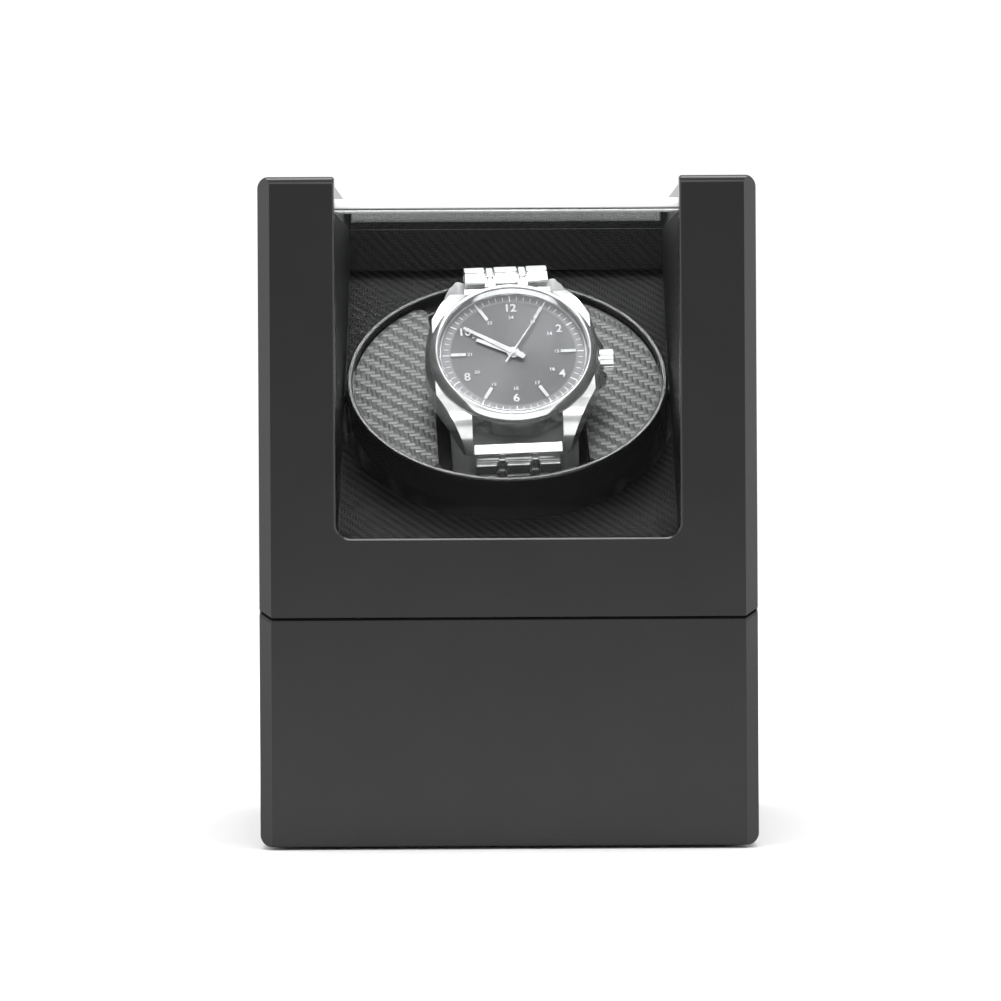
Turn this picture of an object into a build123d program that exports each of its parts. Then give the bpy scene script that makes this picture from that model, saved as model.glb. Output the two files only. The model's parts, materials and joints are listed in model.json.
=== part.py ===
from build123d import *
import os
from math import cos, degrees, pi, radians, sin, tan

# A single-watch winder: a lacquered base with an inclined top, a lid that parts from it along that incline and
# holds a bent clear window, and a motor-driven rotor bowl that carries a watch on a cushion.
# The drawing frame is centred on the casing in X and Y, with Z = 0 on the table and the front towards -Y.
# Every piece is moved back by half the hinges' projection when it is written, so that the origin is the middle of
# the whole object's footprint.

# Casing
WIDTH = 126.0
DEPTH = 126.0
HEIGHT = 170.0
FOOT_HEIGHT = 0.8
SIDE_ROUNDING = 3.0
TOP_ROUNDING = 2.0
BOTTOM_ROUNDING = 0.6
CHAMFER_WIDTH = 3.1
CHAMFER_DEPTH = 2.4
EDGE_EASE = 0.4
BASE_WALL = 11.5
DECK_WALL = 9.5

# The incline that the parting line, the deck and the rotor share
TILT = 39.0
SEAM_FRONT_Z = 57.6
SEAM_GAP = 0.5

# Lid
WINDOW_HALF = 43.6
WINDOW_SILL_Z = 78.5
WINDOW_CORNER = 3.8
LID_CAVITY_HALF = 45.2
LID_FRONT_INNER_Y = -53.5
LID_REAR_INNER_Y = 51.5
PANE_THICK = 3.0
PANE_FRONT_Y = -57.0
PANE_REAR_Y = 54.8
PANE_TOP_Z = 164.8
PANE_FOOT_Z = 74.5
REAR_RAIL_Z = 167.0
LINING_THICK = 1.2

# Deck and drive
DECK_DROP = 1.0
DECK_THICK = 3.0
DECK_HOLE_R = 44.6
PLATE_TOP = -44.0
PLATE_THICK = 3.0
PLATE_HALF_WIDTH = 51.0
PLATE_LOW = -44.0
PLATE_HIGH = 31.0
POST_R = 3.0
POST_PLACES = [(-47.5, -27.0), (47.5, -27.0), (-47.5, 26.0), (47.5, 26.0)]
SPINDLE_R = 3.0
BUSH_R = 5.5
BUSH_BORE_R = 3.05
MOTOR_OFFSET = 30.0
MOTOR_R = 12.0
SHAFT_R = 1.5

# Rotor, with heights along its axis from the rim face
FACE_Y = -4.0
FACE_Z = 119.7
PARK_ANGLE = 3.2
BOWL_R = 42.9
BOWL_FOOT_R = 40.0
BOWL_DEPTH = 36.0
BOWL_FLOOR = 2.5
RIM_WIDTH = 1.6
SLOT_WIDTH = 39.0
PARTITION = 2.0
FACING_DROP = 2.0
FACING_THICK = 1.2
PULLEY_TOP = -38.2
PULLEY_THICK = 3.8
PULLEY_R = 24.0
MOTOR_PULLEY_R = 5.0
GROOVE_DEPTH = 1.0
BELT_THICK = 0.8
BELT_WIDTH = 2.0

# Cushion and watch, in the watch frame: X across, Y towards twelve o'clock, Z out of the dial, centre of cushion
WATCH_LEAN = 17.0
CUSHION_CENTRE = (1.2, -0.8, -9.5)
CUSHION_WIDTH = 33.0
CUSHION_TOP_Z = 14.4
CUSHION_LOW_Z = -15.0
CUSHION_REAR_Y = -11.0
CASE_HALF = 23.2
CASE_SHOULDER_HALF = 20.8
CASE_SHOULDER_Y = 12.2
GUARD_HALF = 24.4
LUG_REACH = 25.5
LUG_HALF = 13.7
CASE_BACK_Z = 15.2
CASE_LOW_Z = 16.3
CASE_TOP_Z = 24.8
DIAL_Z = 24.6
DIAL_R = 19.0
BEZEL_R = 21.2
BEZEL_SKIRT_R = 19.8
BEZEL_SKIRT_Z = 21.6
BEZEL_TOP_Z = 27.2
CRYSTAL_R = 19.8
CRYSTAL_LOW_Z = 26.3
CRYSTAL_TOP_Z = 27.6
LUG_GAP_HALF = 11.9
LINK_HALF_WIDTH = 11.3
LINK_PITCH = 6.3
LINK_PATH_R = 17.4
LINK_START = 0.4
HEAD_BEND_Y = 27.0
HEAD_BEND_Z = 7.0
HEAD_BEND_R = 10.0
HEAD_LINKS = 8
TAIL_LINKS = 6
CLASP_LOW_Y = -11.2
CLASP_HIGH_Y = 12.6
CROWN_Z = 20.2
CROWN_R = 2.9
HOUR_ANGLE = 295.0
MINUTE_ANGLE = 303.0
SECOND_ANGLE = 32.0

# Hinge
HINGE_PIN_R = 0.9
HINGE_BORE_R = 0.95
KNUCKLE_R = 1.7
HINGE_OFFSET = 1.9
HINGE_X = 52.0
HINGE_HALF = 7.7
LEAF_THICK = 1.1
HINGE_PROJECTION = HINGE_OFFSET + KNUCKLE_R

# Rear fittings
BATTERY_HALF = 29.0
BATTERY_LOW_Z = 5.0
BATTERY_HIGH_Z = 39.0
BATTERY_DEPTH = 17.4
CELL_R = 7.1
CELL_LENGTH = 49.0
KNOB_X = -42.0
KNOB_Z = 36.0
KNOB_R = 7.5
JACK_X = 42.0
JACK_Z = 30.0
LAMP_Z = 54.0

FAR = 300.0
FRONT = -DEPTH / 2
REAR = DEPTH / 2
SLOPE = tan(radians(TILT))
NORMAL = (0, -sin(radians(TILT)), cos(radians(TILT)))
TURN = radians(PARK_ANGLE)
ROTOR_X = (cos(TURN), sin(TURN) * cos(radians(TILT)), sin(TURN) * sin(radians(TILT)))

SEAM = Plane(origin=(0, FRONT, SEAM_FRONT_Z), x_dir=(1, 0, 0), z_dir=NORMAL).location
CHASSIS = Plane(origin=(0, FACE_Y, FACE_Z), x_dir=(1, 0, 0), z_dir=NORMAL).location
ROTOR = Plane(origin=(0, FACE_Y, FACE_Z), x_dir=ROTOR_X, z_dir=NORMAL).location
WATCH = ROTOR * Location(CUSHION_CENTRE, (WATCH_LEAN, 0, 0))

HINGE_Y = REAR + HINGE_OFFSET
HINGE_Z = SEAM_FRONT_Z + (HINGE_Y - FRONT) * SLOPE


def box(x0, x1, y0, y1, z0, z1):
    """A block between two opposite corners."""
    return Pos((x0 + x1) / 2, (y0 + y1) / 2, (z0 + z1) / 2) * Box(x1 - x0, y1 - y0, z1 - z0)


def rod(radius, low, high, x=0.0, y=0.0):
    """A cylinder along Z between two heights."""
    return Pos(x, y, (low + high) / 2) * Cylinder(radius, high - low)


def rod_y(radius, x, z, y0, y1):
    """A cylinder along Y between two depths."""
    return Pos(x, (y0 + y1) / 2, z) * Rot(90, 0, 0) * Cylinder(radius, y1 - y0)


def rod_x(radius, y, z, x0, x1):
    """A cylinder along X between two widths."""
    return Pos((x0 + x1) / 2, y, z) * Rot(0, 90, 0) * Cylinder(radius, x1 - x0)


def side_prism(points, x0, x1):
    """A prism along X over an outline given as (Y, Z) points."""
    outline = make_face(Polyline(*[(x0, y, z) for y, z in points], close=True))
    return extrude(outline, x1 - x0, dir=(1, 0, 0))


def seam_slab(half_x, y0, y1, low, high):
    """A slab parallel to the incline, with vertical ends, between two heights above the parting plane."""
    lift = 1 / cos(radians(TILT))

    def height(y, level):
        return SEAM_FRONT_Z + (y - FRONT) * SLOPE + level * lift

    points = [(y0, height(y0, low)), (y1, height(y1, low)), (y1, height(y1, high)), (y0, height(y0, high))]
    return side_prism(points, -half_x, half_x)


def screw(radius, length, head_r, head_height):
    """A pan-head screw, head up at Z 0 and shank below it, with a straight slot."""
    body = rod(radius, -length, 0) + rod(head_r, 0, head_height)
    return body - box(-head_r, head_r, -head_r * 0.12, head_r * 0.12, head_height * 0.5, head_height + 1)


def cut_all(body, tools):
    """Takes each tool away from the body."""
    for tool in tools:
        body = body - tool
    return body


# Casings


def outer_block():
    """The closed case's outside: rounded in front view and side view, with chamfered upright edges."""
    height = HEIGHT - FOOT_HEIGHT
    middle = FOOT_HEIGHT + height / 2
    front_view = Plane.XZ * Pos(0, middle) * RectangleRounded(WIDTH, height, SIDE_ROUNDING)
    side = Rectangle(DEPTH, height)
    side = fillet(side.vertices().group_by(Axis.Y)[-1], TOP_ROUNDING)
    side = fillet(side.vertices().group_by(Axis.Y)[0], BOTTOM_ROUNDING)
    half_w = WIDTH / 2
    half_d = DEPTH / 2
    corners = [
        (half_w, half_d - CHAMFER_DEPTH),
        (half_w - CHAMFER_WIDTH, half_d),
        (CHAMFER_WIDTH - half_w, half_d),
        (-half_w, half_d - CHAMFER_DEPTH),
        (-half_w, CHAMFER_DEPTH - half_d),
        (CHAMFER_WIDTH - half_w, -half_d),
        (half_w - CHAMFER_WIDTH, -half_d),
        (half_w, CHAMFER_DEPTH - half_d),
    ]
    plan = make_face(Polyline(*corners, close=True))
    block = extrude(front_view, DEPTH, both=True)
    block = block & extrude(Plane.YZ * Pos(0, middle) * side, WIDTH, both=True)
    return block & extrude(plan, HEIGHT)


def above_seam(level):
    """Everything above a plane parallel to the parting plane."""
    return SEAM * Pos(0, 0, level + FAR / 2) * Box(2 * FAR, 2 * FAR, FAR)


def ease_seam(body, level):
    """Eases the outer edges where the parting plane meets the outside."""
    face = body.faces().sort_by(Axis(SEAM.position, NORMAL))[level]
    return chamfer(face.outer_wire().edges(), EDGE_EASE)


def base_casing(cutters):
    """The lower case: walls, corner bosses for the cover and bosses for the circuit board."""
    body = outer_block() - above_seam(0)
    body = ease_seam(body, -1)
    inner = REAR - BASE_WALL
    body = body - box(-inner, inner, -inner, inner, 0, HEIGHT)
    pocket = REAR - DECK_WALL
    body = body - seam_slab(pocket, -pocket, pocket, -(DECK_DROP + DECK_THICK), FAR)
    for x in (-1, 1):
        for y in (-1, 1):
            body = body + Pos(x * (inner - 4.5), y * (inner - 4.5), 9.9) * Box(11, 11, 12)
    for z in (KNOB_Z - 14, LAMP_Z + 6):
        body = body + rod_y(2.5, KNOB_X, z, inner - 4, inner + 1)
    return cut_all(body, cutters)


def rear_openings():
    """Holes and recesses in the base's rear wall for the battery door, knob, lamp and power jack."""
    inner = REAR - BASE_WALL
    return [
        box(-27.5, 27.5, inner - 1, REAR + 1, 6.5, 37.5),
        box(-31, 31, REAR - 3, REAR + 1, 3.5, 40.5),
        rod_y(KNOB_R + 1.5, KNOB_X, KNOB_Z, REAR - 5, REAR + 1),
        rod_y(3.5, KNOB_X, KNOB_Z, inner - 1, REAR - 4),
        rod_y(1.5, KNOB_X, LAMP_Z, inner - 1, REAR + 1),
        rod_y(6.4, JACK_X, JACK_Z, REAR - 3, REAR + 1),
        rod_y(4.6, JACK_X, JACK_Z, inner - 1, REAR - 2),
    ]


def lid_casing(cutters):
    """The upper case: two solid cheeks, a front rail under the window and a low rear rail, open at the top."""
    body = outer_block() & above_seam(SEAM_GAP)
    body = ease_seam(body, 0)
    window = Pos(0, WINDOW_SILL_Z + FAR / 2) * Rectangle(2 * WINDOW_HALF, FAR)
    window = fillet(window.vertices().group_by(Axis.Y)[0], WINDOW_CORNER)
    opening = extrude(Plane.XZ.offset(-LID_FRONT_INNER_Y - 1) * window, FAR)
    body = body - opening
    rim = body.faces().sort_by(Axis.Y)[0].edges()
    rim = rim.filter_by_position(Axis.X, -WINDOW_HALF - 0.1, WINDOW_HALF + 0.1)
    rim = rim.filter_by_position(Axis.Z, WINDOW_SILL_Z - 0.1, HEIGHT)
    body = chamfer(rim, EDGE_EASE)
    half = LID_CAVITY_HALF
    body = body - box(-half, half, LID_FRONT_INNER_Y, LID_REAR_INNER_Y, 0, FAR)
    body = body - box(-half, half, PANE_FRONT_Y - 0.2, LID_FRONT_INNER_Y + 1, PANE_FOOT_Z - 0.2, FAR)
    seat = PANE_TOP_Z - PANE_THICK
    body = body - box(-half, half, LID_REAR_INNER_Y - 1, PANE_REAR_Y + 0.2, seat - 0.1, FAR)
    body = body - box(-WINDOW_HALF, WINDOW_HALF, LID_REAR_INNER_Y, REAR + 1, REAR_RAIL_Z, FAR)
    return cut_all(body, cutters)


def lid_window():
    """One clear sheet bent once: the front pane and the top pane."""
    low = PANE_TOP_Z - PANE_THICK
    inner_y = PANE_FRONT_Y + PANE_THICK
    points = [
        (PANE_FRONT_Y, PANE_FOOT_Z),
        (inner_y, PANE_FOOT_Z),
        (inner_y, low),
        (PANE_REAR_Y, low),
        (PANE_REAR_Y, PANE_TOP_Z),
        (PANE_FRONT_Y, PANE_TOP_Z),
    ]
    half = LID_CAVITY_HALF - 0.2
    sheet = side_prism(points, -half, half)
    bends = sheet.edges().filter_by(Axis.X)
    outer = bends.filter_by_position(Axis.Y, PANE_FRONT_Y - 0.1, PANE_FRONT_Y + 0.1).sort_by(Axis.Z)[-1]
    sheet = fillet(outer, PANE_THICK + 0.8)
    bends = sheet.edges().filter_by(Axis.X)
    inner = bends.filter_by_position(Axis.Y, inner_y - 0.1, inner_y + 0.1).sort_by(Axis.Z)[-1]
    return fillet(inner, 0.8)


def lid_side_lining(side):
    """A leather-covered board on a cheek's inner face, cut along the incline at its lower edge."""
    outer = LID_CAVITY_HALF - 0.1
    inner = outer - LINING_THICK
    x0, x1 = sorted((side * inner, side * outer))
    top = PANE_TOP_Z - PANE_THICK - 0.1
    board = box(x0, x1, LID_FRONT_INNER_Y + 0.2, LID_REAR_INNER_Y - LINING_THICK - 0.2, 0, top)
    return board & above_seam(SEAM_GAP + 0.5)


def lid_rear_lining():
    """The leather-covered board on the rear rail's inner face."""
    half = LID_CAVITY_HALF - 0.1
    top = PANE_TOP_Z - PANE_THICK - 0.1
    board = box(-half, half, LID_REAR_INNER_Y - LINING_THICK - 0.1, LID_REAR_INNER_Y - 0.1, 0, top)
    return board & above_seam(SEAM_GAP + 0.5)


def deck_board():
    """The inclined board round the rotor, leather covered."""
    half = REAR - DECK_WALL - 0.2
    board = seam_slab(half, -half, half, -(DECK_DROP + DECK_THICK) + 0.05, -DECK_DROP)
    return board - CHASSIS * rod(DECK_HOLE_R, -40, 10)


def base_cover(cutters):
    """The plate that closes the base from below."""
    half = REAR - BASE_WALL - 0.3
    return cut_all(box(-half, half, -half, half, FOOT_HEIGHT, 3.8), cutters)


def cover_screw_places():
    """Where the cover's four screws stand."""
    place = REAR - BASE_WALL - 5
    return [(x * place, y * place) for x in (-1, 1) for y in (-1, 1)]


def cover_screws():
    """Four screws up through the cover, heads sunk in it."""
    one = Rot(180, 0, 0) * screw(1.2, 9.5, 2.5, 1.2)
    return [Pos(x, y, FOOT_HEIGHT + 1.3) * one for x, y in cover_screw_places()]


def cover_counterbores():
    """The round recesses that take those heads, open from below."""
    return [rod(2.8, 0, FOOT_HEIGHT + 1.3, x, y) for x, y in cover_screw_places()]


def rubber_feet():
    """Four soft discs under the cover."""
    place = REAR - BASE_WALL - 14
    return [rod(5.5, 0, FOOT_HEIGHT, x * place, y * place) for x in (-1, 1) for y in (-1, 1)]


def lid_bumpers():
    """Four soft dots that carry the closed lid on the base rim."""
    places = [(x * 58.0, along) for x in (-1, 1) for along in (20.0, 135.0)]
    return [SEAM * rod(2.2, 0, SEAM_GAP - 0.05, x, y) for x, y in places]


def magnets(side):
    """Two discs in the front rim: side -1 is the base's rim, side 1 is the lid's."""
    level = 0 if side < 0 else SEAM_GAP
    low, high = sorted((level + side * 0.1, level + side * 3.1))
    return [SEAM * rod(2.5, low, high, x, 6.2) for x in (-30.0, 30.0)]


def magnet_pockets(side):
    """The blind holes that hold those discs, flush with the rim."""
    level = 0 if side < 0 else SEAM_GAP
    low, high = sorted((level - side * 0.2, level + side * 3.1))
    return [SEAM * rod(2.5, low, high, x, 6.2) for x in (-30.0, 30.0)]


# Hinges


def hinge_leaf(centre, direction):
    """One leaf with its knuckles: direction -1 hangs down on the base, 1 stands up on the lid."""
    near = HINGE_Z + direction * (KNUCKLE_R + 0.4)
    far = HINGE_Z + direction * (7.2 if direction > 0 else 11.0)
    z0, z1 = sorted((near, far))
    leaf = box(centre - HINGE_HALF, centre + HINGE_HALF, REAR, REAR + LEAF_THICK, z0, z1)
    spans = [(-3.3, 3.3)] if direction > 0 else [(-HINGE_HALF, -3.5), (3.5, HINGE_HALF)]
    for start, end in spans:
        x0 = centre + start
        x1 = centre + end
        t0, t1 = sorted((HINGE_Z, near))
        leaf = leaf + rod_x(KNUCKLE_R, HINGE_Y, HINGE_Z, x0, x1)
        leaf = leaf + box(x0, x1, REAR + 0.2, REAR + LEAF_THICK, t0, t1)
    return leaf - rod_x(HINGE_BORE_R, HINGE_Y, HINGE_Z, centre - 20, centre + 20)


def hinge_pin(centre):
    """A straight pin through the knuckles, with a small head at each end."""
    pin = rod_x(HINGE_PIN_R, HINGE_Y, HINGE_Z, centre - HINGE_HALF - 0.5, centre + HINGE_HALF + 0.5)
    for side in (-1, 1):
        x0, x1 = sorted((centre + side * (HINGE_HALF + 0.1), centre + side * (HINGE_HALF + 0.6)))
        pin = pin + rod_x(1.3, HINGE_Y, HINGE_Z, x0, x1)
    return pin


def hinge_screws(direction):
    """Two screws in each leaf, driven from the rear."""
    height = HINGE_Z + direction * (4.8 if direction > 0 else 6.4)
    one = Rot(-90, 0, 0) * screw(0.7, 4.5, 1.3, 0.5)
    places = [side * HINGE_X + offset for side in (-1, 1) for offset in (-5.0, 5.0)]
    return [Pos(x, REAR + LEAF_THICK, height) * one for x in places]


# Chassis and drive


def bearing_plate(cutters):
    """The plate under the rotor that carries the spindle bush and the motor."""
    middle = (PLATE_LOW + PLATE_HIGH) / 2
    outline = Pos(0, middle) * RectangleRounded(2 * PLATE_HALF_WIDTH, PLATE_HIGH - PLATE_LOW, 4)
    plate = CHASSIS * Pos(0, 0, PLATE_TOP - PLATE_THICK) * extrude(outline, PLATE_THICK)
    return cut_all(plate, cutters)


def plate_posts(cutters):
    """Four posts between the deck's underside and the bearing plate."""
    rise = (FACE_Z - SEAM_FRONT_Z - (FACE_Y - FRONT) * SLOPE) * cos(radians(TILT))
    top = -rise - DECK_DROP - DECK_THICK
    posts = [CHASSIS * rod(POST_R, PLATE_TOP, top, x, y) for x, y in POST_PLACES]
    return [cut_all(post, cutters) for post in posts]


def plate_screws():
    """Four screws up through the plate into the posts."""
    one = Rot(180, 0, 0) * screw(1.2, 9.0, 2.6, 1.4)
    return [CHASSIS * Pos(x, y, PLATE_TOP - PLATE_THICK) * one for x, y in POST_PLACES]


def spindle_bush():
    """A flanged plain bearing in the plate."""
    low = PLATE_TOP - PLATE_THICK - 1.0
    bush = rod(BUSH_R, low, PLATE_TOP) + rod(8.0, PLATE_TOP, PLATE_TOP + 1.0)
    return CHASSIS * (bush - rod(BUSH_BORE_R, low - 1, PLATE_TOP + 2))


def rotor_bowl(spindle):
    """The black bowl: a rim, a full-diameter slot for the cushion and a hub for the spindle."""
    outline = Polyline(
        (0, 0),
        (BOWL_R, 0),
        (BOWL_R - 0.5, -10),
        (BOWL_FOOT_R, -BOWL_DEPTH + 3),
        (BOWL_FOOT_R - 3, -BOWL_DEPTH),
        (0, -BOWL_DEPTH),
        close=True,
    )
    bowl = revolve(Plane.XZ * make_face(outline), Axis.Z)
    bowl = bowl + rod(6.5, PULLEY_TOP + 0.2, -BOWL_DEPTH)
    recess_r = BOWL_R - RIM_WIDTH
    seat = -(FACING_DROP + FACING_THICK)
    bowl = bowl - rod(recess_r, seat, 1)
    pocket_r = BOWL_FOOT_R - 2.2
    floor = BOWL_FLOOR - BOWL_DEPTH
    half_slot = SLOT_WIDTH / 2
    slot = rod(pocket_r, floor, 1) & box(-half_slot, half_slot, -FAR, FAR, -FAR, FAR)
    wall = half_slot + PARTITION
    bowl = bowl - slot
    for side in (-1, 1):
        x0, x1 = sorted((side * wall, side * FAR))
        bowl = bowl - (rod(pocket_r, floor, 1) & box(x0, x1, -FAR, FAR, -FAR, FAR))
    bowl = fillet(bowl.edges().filter_by(GeomType.CIRCLE).filter_by_position(Axis.Z, -0.01, 0.01), 0.5)
    return ROTOR * bowl - spindle


def rotor_facing(side):
    """A leather-covered segment that closes one side of the bowl beside the slot."""
    radius = BOWL_R - RIM_WIDTH - 0.4
    edge = SLOT_WIDTH / 2 + 0.3
    x0, x1 = sorted((side * edge, side * FAR))
    low = -(FACING_DROP + FACING_THICK)
    segment = rod(radius, low, -FACING_DROP) & box(x0, x1, -FAR, FAR, -FAR, FAR)
    corners = segment.edges().filter_by(Axis.Z)
    segment = fillet(corners, 2.5)
    return ROTOR * segment


def rotor_spindle():
    """The steel spindle, fixed in the hub and grooved for its clip."""
    shaft = rod(SPINDLE_R, -50.8, -34.6)
    groove = rod(SPINDLE_R + 1, -49.6, -48.8) - rod(SPINDLE_R - 0.5, -49.6, -48.8)
    return ROTOR * (shaft - groove)


def spindle_clip():
    """The spring clip that keeps the spindle in its bush."""
    ring = rod(5.0, -49.55, -48.85) - rod(SPINDLE_R - 0.5, -50, -48)
    return ROTOR * (ring - box(-1.2, 1.2, 0, 9, -50, -48))


def pulley(radius, bore, centre_y):
    """A grooved belt pulley just under the bowl."""
    low = PULLEY_TOP - PULLEY_THICK
    middle = (low + PULLEY_TOP) / 2
    wheel = rod(radius, low, PULLEY_TOP)
    groove = rod(radius + 1, middle - BELT_WIDTH * 0.6, middle + BELT_WIDTH * 0.6)
    wheel = wheel - (groove - rod(radius - GROOVE_DEPTH, -FAR, FAR))
    return Pos(0, centre_y) * (wheel - rod(bore, -FAR, FAR))


def belt_outline(extra):
    """The outline round both pulleys at a distance outside their grooves."""
    big = PULLEY_R - GROOVE_DEPTH + extra
    small = MOTOR_PULLEY_R - GROOVE_DEPTH + extra
    return make_hull([*Circle(big).edges(), *(Pos(0, -MOTOR_OFFSET) * Circle(small)).edges()])


def drive_belt():
    """A flat closed belt from the motor pulley to the spindle pulley."""
    middle = PULLEY_TOP - PULLEY_THICK / 2
    loop = extrude(belt_outline(0.1 + BELT_THICK), BELT_WIDTH) - extrude(belt_outline(0.1), BELT_WIDTH)
    return CHASSIS * Pos(0, 0, middle - BELT_WIDTH / 2) * loop


def gear_motor(cutters):
    """The gearbox and the motor can, hung under the plate."""
    top = PLATE_TOP - PLATE_THICK
    body = rod(MOTOR_R, top - 10, top) + rod(MOTOR_R - 0.6, top - 27, top - 10)
    body = body + rod(3.0, top - 29, top - 27)
    body = body - rod(2.5, top - 6.5, top + 1)
    body = Pos(0, -MOTOR_OFFSET) * body
    return cut_all(CHASSIS * body, cutters)


def motor_shaft():
    """The gearbox output shaft."""
    return CHASSIS * rod(SHAFT_R, PLATE_TOP - PLATE_THICK - 6, PULLEY_TOP, 0, -MOTOR_OFFSET)


def motor_screws():
    """Two screws through the plate into the gearbox."""
    one = screw(0.9, PLATE_THICK + 4, 1.9, 1.0)
    return [CHASSIS * Pos(x, -MOTOR_OFFSET, PLATE_TOP) * one for x in (-8.5, 8.5)]


# Electrics


def circuit_board(cutters):
    """The control board behind the rear wall, with a few components."""
    face = REAR - BASE_WALL - 4
    board = box(KNOB_X - 9, KNOB_X + 9, face - 1.6, face, KNOB_Z - 18, LAMP_Z + 10)
    for z, size in ((KNOB_Z - 4, 7.0), (KNOB_Z + 9, 5.0), (LAMP_Z + 3, 6.0)):
        chip = box(KNOB_X - size / 2, KNOB_X + size / 2, face - 3.4, face - 1.6, z - size / 2, z + size / 2)
        board = board + chip
    return cut_all(board, cutters)


def board_screws():
    """Two screws that hold the board on its bosses."""
    one = Rot(90, 0, 0) * screw(0.9, 5.0, 1.9, 1.0)
    return [Pos(KNOB_X, REAR - BASE_WALL - 5.6, z) * one for z in (KNOB_Z - 14, LAMP_Z + 6)]


def switch_body():
    """The rotary switch between the board and the wall, with its threaded nose."""
    inner = REAR - BASE_WALL
    body = box(KNOB_X - 6, KNOB_X + 6, inner - 4, inner, KNOB_Z - 6, KNOB_Z + 6)
    body = body + rod_y(3.5, KNOB_X, KNOB_Z, inner, REAR - 5)
    return body - rod_y(1.55, KNOB_X, KNOB_Z, inner - 3, REAR)


def knob_shaft():
    """The switch's shaft, which the knob is pushed on."""
    return rod_y(1.5, KNOB_X, KNOB_Z, REAR - BASE_WALL - 2.8, REAR - 2)


def mode_knob(shaft):
    """The mode knob in its round recess, with a grip bar."""
    knob = rod_y(KNOB_R, KNOB_X, KNOB_Z, REAR - 4.7, REAR - 1.5)
    knob = knob + box(KNOB_X - 1.5, KNOB_X + 1.5, REAR - 1.5, REAR + 1.5, KNOB_Z - 6, KNOB_Z + 6)
    return knob - shaft


def power_jack():
    """The round low-voltage inlet with its centre pin."""
    inner = REAR - BASE_WALL
    body = rod_y(4.6, JACK_X, JACK_Z, inner - 5, REAR - 3) + rod_y(6.2, JACK_X, JACK_Z, REAR - 3, REAR - 1.2)
    body = body - rod_y(2.9, JACK_X, JACK_Z, inner - 1, REAR)
    return body + rod_y(1.0, JACK_X, JACK_Z, inner - 1.5, REAR - 3)


def jack_nut():
    """The hexagonal nut that clamps the inlet from inside."""
    inner = REAR - BASE_WALL
    blank = Pos(JACK_X, inner - 1.5, JACK_Z) * Rot(90, 0, 0) * extrude(RegularPolygon(7.0, 6), 1.5, both=True)
    return blank - rod_y(4.6, JACK_X, JACK_Z, inner - 6, inner + 1)


def indicator_lamp():
    """The light guide of the running lamp."""
    return rod_y(1.5, KNOB_X, LAMP_Z, REAR - BASE_WALL - 3.5, REAR)


def battery_box():
    """The open-backed holder for two cells."""
    rear = REAR - BASE_WALL
    shell = box(-BATTERY_HALF, BATTERY_HALF, rear - BATTERY_DEPTH, rear, BATTERY_LOW_Z, BATTERY_HIGH_Z)
    hollow = box(-27.5, 27.5, rear - BATTERY_DEPTH + 1.5, rear + 1, 6.5, 37.5)
    return shell - hollow


def cell_heights():
    """The two cells' axes, one above the other."""
    middle = (BATTERY_LOW_Z + BATTERY_HIGH_Z) / 2
    return (middle - 7.5, middle + 7.5)


def battery_cells():
    """Two cylindrical cells lying side to side, turned opposite ways."""
    depth = REAR - BASE_WALL - 8.2
    cells = []
    for z, way in zip(cell_heights(), (-1, 1)):
        body = rod_x(CELL_R, depth, z, -CELL_LENGTH / 2, CELL_LENGTH / 2)
        tip0, tip1 = sorted((way * CELL_LENGTH / 2, way * (CELL_LENGTH / 2 + 1.2)))
        cells.append(body + rod_x(2.6, depth, z, tip0, tip1))
    return cells


def battery_contacts():
    """A sprung contact at one end of each cell and a plate at the other."""
    depth = REAR - BASE_WALL - 8.2
    contacts = []
    for z, way in zip(cell_heights(), (-1, 1)):
        plate0, plate1 = sorted((way * 26.9, way * 27.5))
        contacts.append(box(plate0, plate1, depth - 5, depth + 5, z - 5, z + 5))
        spring0, spring1 = sorted((-way * (CELL_LENGTH / 2 + 0.1), -way * 27.0))
        base0, base1 = sorted((-way * 26.9, -way * 27.5))
        turns = rod_x(4.0, depth, z, spring0, spring1) - rod_x(2.8, depth, z, spring0 - 1, spring1 + 1)
        contacts.append(turns + box(base0, base1, depth - 5, depth + 5, z - 5, z + 5))
    return contacts


def battery_door():
    """The snap-in cover over the cells, flush with the rear face, with a finger notch."""
    door = box(-30.7, 30.7, REAR - 2.9, REAR - 0.1, 3.8, 40.2)
    lip = box(-27.0, 27.0, REAR - 4.5, REAR - 2.9, 7.0, 37.0)
    hollow = box(-25.5, 25.5, REAR - 5, REAR - 2.9, 8.5, 35.5)
    notch = box(-8, 8, REAR - 1.3, REAR, 36.5, 41)
    return door + (lip - hollow) - notch


# Cushion and watch


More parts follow.
